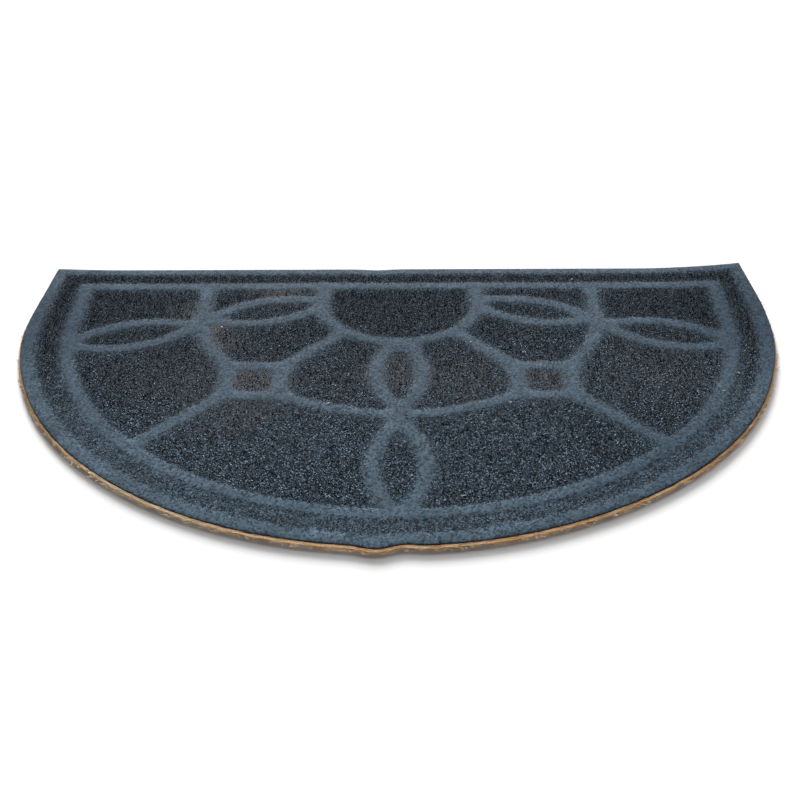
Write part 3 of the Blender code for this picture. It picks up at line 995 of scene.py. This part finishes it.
def crumb_piece(name, points, share, template, faces, material, settings, random):
    """One piece of crumb: each lump is broken, stretched, tipped and turned, its foot in the rubber."""
    count = len(points)
    size = settings.crumb_size * random.uniform(*CRUMB_LENGTHS, count)
    size *= CRUMB_LEAST + (1.0 - CRUMB_LEAST) * share
    shape = template[None] * random.uniform(*CRUMB_BREAKS, (count, len(template), 1))
    width = size * random.uniform(*CRUMB_WIDTHS, count)
    height = size * random.uniform(*CRUMB_HEIGHTS, count)
    shape = shape * np.stack([size, width, height], 1)[:, None] / 2.0
    turn = random.uniform(0.0, 2.0 * math.pi, count)[:, None]
    tip = random.normal(0.0, CRUMB_TIP, count)[:, None]
    x, y, z = np.moveaxis(shape, 2, 0)
    x, z = x * np.cos(tip) - z * np.sin(tip), x * np.sin(tip) + z * np.cos(tip)
    x, y = x * np.cos(turn) - y * np.sin(turn), x * np.sin(turn) + y * np.cos(turn)
    ground = BED + rubber_top(points) + lift(points)
    raised = random.uniform(*CRUMB_STANDS, count) * size
    centre = in_frame(strayed(points), ground + raised * share)
    places = centre[:, None] + np.stack([x, y, z], 2)
    made = joined(name, places, faces, material)
    forward = points[:, 1] / (SIDE_LENGTH + FRONT_RADIUS)
    # Painted light: a crumb is lighter the further forward it lies
    lightness = random.beta(*CRUMB_SHADES, count) * (CRUMB_BACK_PAINTED_LIGHT + CRUMB_FRONT_PAINTED_LIGHT * forward)
    lightness *= 1.0 - CRUMB_PATCH_DARKENING * spotted(points, DARK_PATCHES)
    tone = lightness[:, None] * random.uniform(*CRUMB_CORNERS, (count, len(template)))
    store(made.data, "tone", np.clip(tone, 0.0, 1.0).ravel())
    store(made.data, "share", np.repeat(share, len(template)))
    store(made.data, "dust", np.repeat(spotted(points, DUSTS), len(template)))
    store_uv(made.data, cell_uv(count, template[:, :2]))
    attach(made, "root")


def fibre_ring(inset):
    """The fibre layer's edge: a little proud of the rubber, ragged all round."""
    ring = outline(0.0, FIBRE_BACK_POINTS, FIBRE_SIDE_POINTS, FIBRE_FRONT_POINTS)
    ragged = np.array([
        sum(rag.depth * noise.noise(Vector((*point * rag.number, rag.slice))) for rag in RAGS)
        for point in ring
    ])
    return ring + (FIBRE_PROUD - inset + ragged)[:, None] * outward(ring)


def make_fibre_mat(settings):
    """The brown fibre layer: a thin sheet with a ragged, lumpy edge."""
    made = ring_of_rows("fibre_mat", fibre_ring, FIBRE_ROWS)
    mesh = made.data
    last = len(FIBRE_ROWS) - 1
    close_flat(mesh, 0)
    close_flat(mesh, last)
    plan, rows, shares = by_row(mesh, FIBRE_ROWS)
    lumps = np.array([
        noise.noise(Vector((*point * LUMPS_A_METRE, row * LUMP_ROW_STEP)))
        for point, row in zip(plan, rows)
    ])
    wall = (rows > 0) & (rows < last)
    heights = UNDER_CLEAR + (FIBRE_THICKNESS - UNDER_CLEAR) * shares + lift(plan)
    heights += LUMP_HEIGHT * lumps * wall
    moved = strayed(plan) * (1.0 + LUMP_SPREAD * lumps * wall)[:, None]
    mesh.vertices.foreach_set("co", in_frame(moved, heights).ravel())
    store(mesh, "pale", spotted(plan, PALES))
    # Painted shade at the foot of the edge, where it meets the floor, ragged with the lumps
    unshaded = smooth_step((shares + FOOT_SHADE_RAGGED * lumps - FOOT_SHADE_FULL) / (FOOT_SHADE_NONE - FOOT_SHADE_FULL))
    store(mesh, "soil", FOOT_SHADE_SHARE * wall * (1.0 - unshaded))
    finish_mesh(made, needled_fibre(settings))
    keep_flat(mesh, (rows == 0) | (rows == last))
    skirt = np.where(rows == 0, 0.0, FIBRE_THICKNESS * (1.0 - shares))
    store_uv(mesh, sheet_uv(plan, skirt, rows == 0))
    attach(made, "root")
    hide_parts("fibre_layer")
    return made


def strand_template():
    """One loose fibre: a three-sided rod in three lengths, from 0 to 1 in height."""
    deselect_all()
    bpy.ops.mesh.primitive_cylinder_add(vertices=3, radius=1.0, depth=1.0, location=(0.0, 0.0, 0.5))
    bpy.ops.object.mode_set(mode="EDIT")
    for height in (1.0 / 3.0, 2.0 / 3.0):
        bpy.ops.mesh.select_all(action="SELECT")
        bpy.ops.mesh.bisect(plane_co=(0.0, 0.0, height), plane_no=(0.0, 0.0, 1.0))
    return taken_apart(bpy.context.object, (0.0, 0.0, 0.5))


def strands(name, starts, middles, ends, radii, tones, material, slot):
    """Loose fibres, each bent along a curve from its start past its middle to its end."""
    template, faces = strand_template()
    share = template[:, 2][None, :, None]
    path = (1 - share) ** 2 * starts[:, None] + 2 * share * (1 - share) * middles[:, None]
    path = path + share**2 * ends[:, None]
    run = ends - starts
    run /= np.linalg.norm(run, axis=1)[:, None]
    upright = np.cross(run, np.cross([0.0, 0.0, 1.0], run))
    upright += (np.linalg.norm(upright, axis=1) < NEARLY_UPRIGHT)[:, None] * (1.0, 0.0, 0.0)
    upright /= np.linalg.norm(upright, axis=1)[:, None]
    beside = np.cross(run, upright)
    taper = radii[:, None] * (1.0 - TIP_TAPER * template[:, 2])[None]
    places = path + taper[..., None] * (
        template[:, 0][None, :, None] * beside[:, None] + template[:, 1][None, :, None] * upright[:, None]
    )
    made = joined(name, places, faces, material)
    made.data.shade_smooth()
    store(made.data, "tone", np.repeat(tones, len(template)))
    store_uv(made.data, cell_uv(len(starts), template[:, [0, 2]]))
    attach(made, "root")


def make_edge_fibres(settings, material):
    """Fibres round the cut edge: most lie along it, and some fray in tufts, down to the floor or out."""
    random = np.random.default_rng(EDGE_SEED)
    count = settings.edge_fibres
    ring = fibre_ring(0.0)
    out = outward(ring)
    frayed = random.uniform(0.0, 1.0, count) < FRAYED_SHARE
    tufts = random.integers(0, len(ring), EDGE_TUFTS)
    in_tuft = (random.choice(tufts, count) + random.integers(-1, 2, count)) % len(ring)
    pick = np.where(frayed, in_tuft, random.integers(0, len(ring), count))
    out = out[pick]
    along = np.stack([-out[:, 1], out[:, 0]], 1) * random.choice([-1.0, 1.0], count)[:, None]
    height = random.uniform(EDGE_LOWEST, FIBRE_THICKNESS - EDGE_UNDER_TOP, count)
    length = np.where(frayed, random.uniform(*FRAY_LENGTHS, count), random.uniform(*LYING_LENGTHS, count))
    height = np.where(frayed, height * FRAY_HIGHEST, np.maximum(height, LYING_LOWEST * FIBRE_THICKNESS))
    frayed_out = random.uniform(*FRAY_OUTWARDS, count)
    outwards = np.where(frayed, frayed_out, random.uniform(*LYING_OUTWARDS, count))
    sideways = np.where(frayed, random.uniform(*FRAY_SIDEWAYS, count), 1.0)
    base = ring[pick] - out * random.uniform(*EDGE_SUNK, count)[:, None]
    end = base + (along * sideways[:, None] + out * outwards[:, None]) * length[:, None]
    fallen = height * random.uniform(*FRAY_FALLS, count)
    end_height = np.where(frayed, fallen, height + random.normal(0.0, LYING_WANDER, count))
    middle = (base + end) / 2.0 + out * (random.uniform(*EDGE_BOWS, count))[:, None]
    raised = lift(base)
    radii = settings.fibre_radius * random.uniform(*EDGE_RADII, count) * np.where(frayed, FRAY_THICKER, 1.0)
    low = radii * FLOOR_CLEAR
    # Frayed fibres are pale, and paler still with painted light, since they lie in the mat's shadow
    tones = random.beta(*EDGE_SHADES, count) + FRAY_PALE_AND_PAINTED_LIGHT * frayed + SPOT_PALER * spotted(base, PALES)
    tones = np.clip(tones, 0.0, 1.0)
    kept = edge_distance(end) > -FRAY_REACH
    strands(
        "edge_fibres",
        in_frame(strayed(base), np.maximum(height, low) + raised)[kept],
        in_frame(strayed(middle), np.maximum((height + end_height) / 2.0, low) + raised)[kept],
        in_frame(strayed(end), np.clip(end_height, low, FIBRE_THICKNESS) + raised)[kept],
        radii[kept],
        tones[kept],
        material,
        "fibre",
    )


def make_under_fibres(settings, material):
    """Fibres that lie on the underside, every way."""
    random = np.random.default_rng(UNDER_SEED)
    count = settings.under_fibres
    across = random.uniform(-HALF_WIDTH, HALF_WIDTH, 3 * count)
    forward = random.uniform(0.0, SIDE_LENGTH + FRONT_RADIUS, 3 * count)
    points = np.stack([across, forward], 1)
    points = points[edge_distance(points) > UNDER_MARGIN][:count]
    count = len(points)
    angle = random.uniform(0.0, 2.0 * math.pi, count)
    run = np.stack([np.cos(angle), np.sin(angle)], 1)
    half = random.uniform(*UNDER_HALF_LENGTHS, count)[:, None]
    bend = np.stack([-run[:, 1], run[:, 0]], 1) * random.normal(0.0, UNDER_BEND, count)[:, None]
    radii = settings.fibre_radius * random.uniform(*UNDER_RADII, count)
    bows = (points - run * half, points + bend, points + run * half)
    places = [in_frame(bow, radii * FLOOR_CLEAR + lift(bow)) for bow in bows]
    strands("under_fibres", *places, radii, random.beta(*UNDER_SHADES, count), material, "fibre")


def make_lint(settings):
    """The few bits of lint that lie on the rubber, and a dark rod of painted shade for a nick."""
    plan = np.array([(bit.across, bit.forward) for bit in LINT])
    turns = np.radians([bit.degrees for bit in LINT])
    run = np.stack([np.cos(turns), np.sin(turns)], 1)
    half = np.array([[bit.length / 2.0] for bit in LINT])
    radii = np.array([bit.radius for bit in LINT])
    ground = BED + rubber_top(plan) + lift(plan) + LINT_CLEAR
    start, end = plan - run * half, plan + run * half
    middle = plan + np.stack([-run[:, 1], run[:, 0]], 1) * half * LINT_BEND
    tones = np.array([bit.tone for bit in LINT])
    places = [in_frame(strayed(points), ground + radii) for points in (start, middle, end)]
    strands("lint", *places, radii, tones, lint(settings), "rubber")


# Studio

def make_floor(settings):
    """A plain pale floor, far wider than the mat."""
    deselect_all()
    bpy.ops.mesh.primitive_plane_add(size=settings.floor_size)
    floor = bpy.context.object
    floor.name = "floor"
    floor.data.materials.append(white_board(settings))


def soft_light(light, strength):
    """A distant light as wide as a window or a board."""
    lamp = bpy.data.lights.new(light.name, "SUN")
    lamp.energy = strength
    lamp.angle = math.radians(light.width)
    placed = bpy.data.objects.new(light.name, lamp)
    placed.rotation_euler = (math.radians(light.elevation - 90.0), 0.0, math.radians(light.azimuth))
    bpy.context.collection.objects.link(placed)


def make_lights(settings):
    """An even white room with a broad low window behind the mat and a white board low in front."""
    world = bpy.data.worlds.new("white room")
    world.use_nodes = True
    background = world.node_tree.nodes["Background"]
    background.inputs["Color"].default_value = (1.0, 1.0, 1.0, 1.0)
    background.inputs["Strength"].default_value = settings.room_strength
    bpy.context.scene.world = world
    for light in LIGHTS:
        soft_light(light, getattr(settings, light.strength))


def make_camera():
    """The camera that sees the mat as the photograph does."""
    lens = bpy.data.cameras.new("camera")
    lens.sensor_width = SENSOR_WIDTH
    lens.lens = SENSOR_WIDTH * FOCAL_PIXELS / PICTURE_WIDTH
    ahead = Vector((
        math.sin(CAMERA_YAW) * math.cos(CAMERA_PITCH),
        math.cos(CAMERA_YAW) * math.cos(CAMERA_PITCH),
        -math.sin(CAMERA_PITCH),
    ))
    right = Vector((math.cos(CAMERA_YAW), -math.sin(CAMERA_YAW), 0.0))
    up = right.cross(ahead)
    tilted_right = math.cos(CAMERA_ROLL) * right + math.sin(CAMERA_ROLL) * up
    tilted_up = math.cos(CAMERA_ROLL) * up - math.sin(CAMERA_ROLL) * right
    turned = Matrix((tilted_right, tilted_up, -ahead)).transposed().to_4x4()
    camera = bpy.data.objects.new("camera", lens)
    camera.matrix_world = Matrix.Translation(CAMERA_PLACE) @ turned
    bpy.context.collection.objects.link(camera)
    bpy.context.scene.camera = camera


# Settings that a user would change

def length_property(name, description, default):
    """A length in metres."""
    settings = {"default": default, "min": 0.0, "precision": 5, "unit": "LENGTH"}
    return FloatProperty(name=name, description=description, **settings)


def number_property(name, description, default):
    """A plain number from 0 up."""
    return FloatProperty(name=name, description=description, default=default, min=0.0)


def count_property(name, description, default):
    """A whole number from 0 up."""
    return IntProperty(name=name, description=description, default=default, min=0)


def colour_property(name, description, default):
    """A colour, its default given as sRGB hex."""
    settings = {"default": linear(default), "subtype": "COLOR", "size": 3}
    return FloatVectorProperty(name=name, description=description, **settings)


class DoormatRubber(bpy.types.PropertyGroup):
    rib_colour: colour_property("Rib colour", "Smooth rubber of the ribs", "#5A6E7F")
    rim_colour: colour_property("Rim colour", "Smooth rubber, where it is a little darker", "#4D616F")
    # Smooth rubber in the darker patches
    dark_patch_colour: colour_property("Dull colour", "Smooth rubber where it is worn dull", "#384C5E")
    # Bed of the panels, darkened with painted shade between the crumbs
    panel_bed_shade_colour: colour_property("Panel colour", "Bed of the panels under the crumb", "#26323C")
    shade_colour: colour_property("Shade colour", "Pores and hollows", "#0A0F14")
    # Cut edge of the rubber: its own dark colour with painted shade
    cut_and_shade_colour: colour_property("Cut colour", "Cut edge of the rubber", "#15181B")
    dust_colour: colour_property("Dust colour", "Brown dust in the panels", "#807977")
    lint_colour: colour_property("Lint colour", "The palest lint", "#E6E2DC")
    crumb_dark: colour_property("Dark crumb", "The darkest crumb", "#05080B")
    crumb_light: colour_property("Light crumb", "The lightest crumb", "#C6DDF2")
    grain: length_property("Grain", "Size of the moulded grain", 0.0014)
    pitting: number_property("Pitting", "How dark the grain is, from 0 to 1", 0.85)
    mottle: length_property("Mottle", "Size of the lighter and darker patches", 0.022)
    crumb_grain: length_property("Crumb grain", "Size of the grains in a crumb", 0.0008)
    crumb_pitch: length_property("Crumb pitch", "Distance between crumbs", 0.00128)
    crumb_size: length_property("Crumb size", "Width of a usual crumb", 0.00150)


class DoormatFibre(bpy.types.PropertyGroup):
    fibre_colour: colour_property("Fibre colour", "Usual colour of the fibre", "#E0B07A")
    # Painted shade in the depth of the layer, and the darkest loose fibre
    fibre_dark: colour_property("Dark fibre", "Fibre in the depth of the layer", "#A87541")
    fibre_light: colour_property("Light fibre", "Bleached fibre", "#F0DCBE")
    # Painted shade at the foot of the fibre layer's edge
    foot_shade_colour: colour_property("Soil colour", "Fibre where the edge is soiled by the floor", "#2A221C")
    strand_grain: length_property("Strand grain", "Size of the tufts in the layer", 0.0009)
    mottle: length_property("Mottle", "Size of the lighter and darker patches", 0.012)
    fibre_radius: length_property("Fibre radius", "Half the thickness of a loose fibre", 0.00010)
    edge_fibres: count_property("Edge fibres", "Loose fibres round the edge", 4200)
    under_fibres: count_property("Under fibres", "Loose fibres on the underside", 2000)


class DoormatStudio(bpy.types.PropertyGroup):
    floor_colour: colour_property("Floor colour", "Plain matt floor", "#F2F2F2")
    floor_size: length_property("Floor size", "Width of the floor", 12.0)
    room_strength: number_property("Room strength", "Light from all round", 0.06)
    window_strength: number_property("Window strength", "Low light from behind", 9.0)
    upper_strength: number_property("Upper strength", "Higher light from behind", 2.0)
    board_strength: number_property("Board strength", "Light from the front", 3.2)


# Operators


class DOORMAT_OT_crumb(bpy.types.Operator):
    """Make the rubber crumb that fills the panels"""

    bl_idname = "doormat.crumb"
    bl_label = "Crumb"

    def execute(self, context):
        make_crumb(context.scene.doormat_rubber)
        return {"FINISHED"}


class DOORMAT_OT_lint(bpy.types.Operator):
    """Make the few bits of lint on the rubber"""

    bl_idname = "doormat.lint"
    bl_label = "Lint"

    def execute(self, context):
        make_lint(context.scene.doormat_rubber)
        return {"FINISHED"}


class DOORMAT_OT_rubber_relief(bpy.types.Operator):
    """Make the moulded rubber sheet with its rim and ribs, under the crumb and the lint"""

    bl_idname = "doormat.rubber_relief"
    bl_label = "Rubber relief"

    def execute(self, context):
        make_rubber_relief(context.scene.doormat_rubber)
        return {"FINISHED"}


class DOORMAT_OT_loose_fibres(bpy.types.Operator):
    """Make the loose fibres round the edge and on the underside"""

    bl_idname = "doormat.loose_fibres"
    bl_label = "Loose fibres"

    def execute(self, context):
        settings = context.scene.doormat_fibre
        material = loose_fibre(settings)
        make_edge_fibres(settings, material)
        make_under_fibres(settings, material)
        return {"FINISHED"}


class DOORMAT_OT_fibre_mat(bpy.types.Operator):
    """Make the brown fibre layer that the loose fibres lie on"""

    bl_idname = "doormat.fibre_mat"
    bl_label = "Fibre layer"

    def execute(self, context):
        make_fibre_mat(context.scene.doormat_fibre)
        return {"FINISHED"}


class DOORMAT_OT_studio(bpy.types.Operator):
    """Set up the floor, the light and the camera"""

    bl_idname = "doormat.studio"
    bl_label = "Studio"

    def execute(self, context):
        settings = context.scene.doormat_studio
        make_floor(settings)
        make_lights(settings)
        make_camera()
        context.scene.view_settings.view_transform = "Standard"
        return {"FINISHED"}


class VIEW3D_PT_doormat(bpy.types.Panel):
    """Sizes, colours and buttons for the doormat"""

    bl_label = "Doormat"
    bl_space_type = "VIEW_3D"
    bl_region_type = "UI"
    bl_category = "Doormat"

    def draw(self, context):
        for group, operators in PANEL_ROWS:
            settings = getattr(context.scene, group)
            for name in settings.__annotations__:
                self.layout.prop(settings, name)
            for operator in operators:
                self.layout.operator(operator.bl_idname)


GROUPS = {
    "doormat_rubber": DoormatRubber,
    "doormat_fibre": DoormatFibre,
    "doormat_studio": DoormatStudio,
}
PANEL_ROWS = (
    ("doormat_rubber", (DOORMAT_OT_crumb, DOORMAT_OT_lint, DOORMAT_OT_rubber_relief)),
    ("doormat_fibre", (DOORMAT_OT_loose_fibres, DOORMAT_OT_fibre_mat)),
    ("doormat_studio", (DOORMAT_OT_studio,)),
)
CLASSES = (
    *GROUPS.values(),
    DOORMAT_OT_crumb,
    DOORMAT_OT_lint,
    DOORMAT_OT_rubber_relief,
    DOORMAT_OT_loose_fibres,
    DOORMAT_OT_fibre_mat,
    DOORMAT_OT_studio,
    VIEW3D_PT_doormat,
)


def register():
    for own in CLASSES:
        bpy.utils.register_class(own)
    for name, group in GROUPS.items():
        setattr(bpy.types.Scene, name, PointerProperty(type=group))


def unregister():
    for name in GROUPS:
        delattr(bpy.types.Scene, name)
    for own in reversed(CLASSES):
        bpy.utils.unregister_class(own)


def main():
    register()
    bpy.ops.doormat.crumb()
    bpy.ops.doormat.lint()
    bpy.ops.doormat.rubber_relief()
    bpy.ops.doormat.loose_fibres()
    bpy.ops.doormat.fibre_mat()
    bpy.ops.doormat.studio()


if __name__ == "__main__":
    main()
